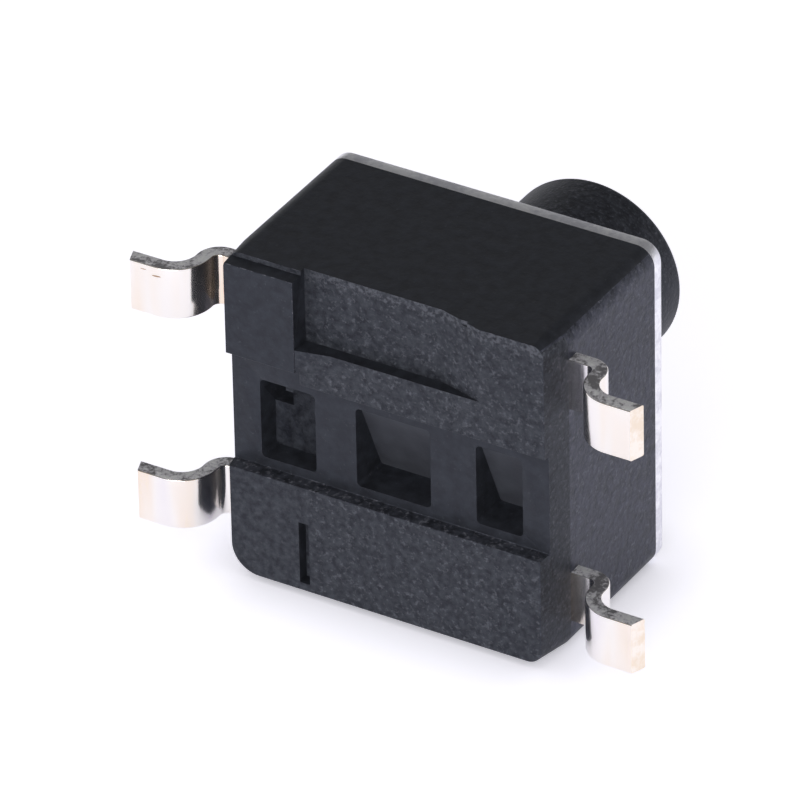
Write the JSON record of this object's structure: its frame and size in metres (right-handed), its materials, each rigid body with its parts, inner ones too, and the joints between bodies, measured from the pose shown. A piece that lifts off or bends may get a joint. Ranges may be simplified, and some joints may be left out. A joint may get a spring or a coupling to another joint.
{
  "type": "pushbutton switch",
  "caption": "Square surface-mount tactile pushbutton switch with gull-wing leads, a snap dome, a round button and a staked metal cover plate.",
  "frame": {"origin": "centre of the footprint on the circuit board's surface, under the middle of the button", "axes": "+Z along the button's axis, away from the board; X along the leads; the raised corner pad of the underside is at -X, -Y"},
  "size_m": [0.007, 0.0044, 0.0052],
  "materials": {
    "black_moulding": "matte moulded, charcoal",
    "button_plastic": "matte moulded, black",
    "stainless_plate": "bright stamped sheet",
    "tinned_brass": "bright tin plating over brass",
    "spring_steel": "bright spring steel"
  },
  "bodies": {
    "switch_body": {"base": "black_moulding", "cover_plate": "stainless_plate", "middle_terminal": "tinned_brass", "outer_terminal": "tinned_brass", "snap_dome": "spring_steel"},
    "pushbutton": {"button": "button_plastic"}
  },
  "joints": [
    {"name": "button_press", "type": "slide", "parent": "switch_body", "child": "pushbutton", "axis": [0, 0, 1], "range_m": [-0.00025, 0], "stiffness_N_per_m": 6400, "deforming": ["snap_dome"]}
  ]
}
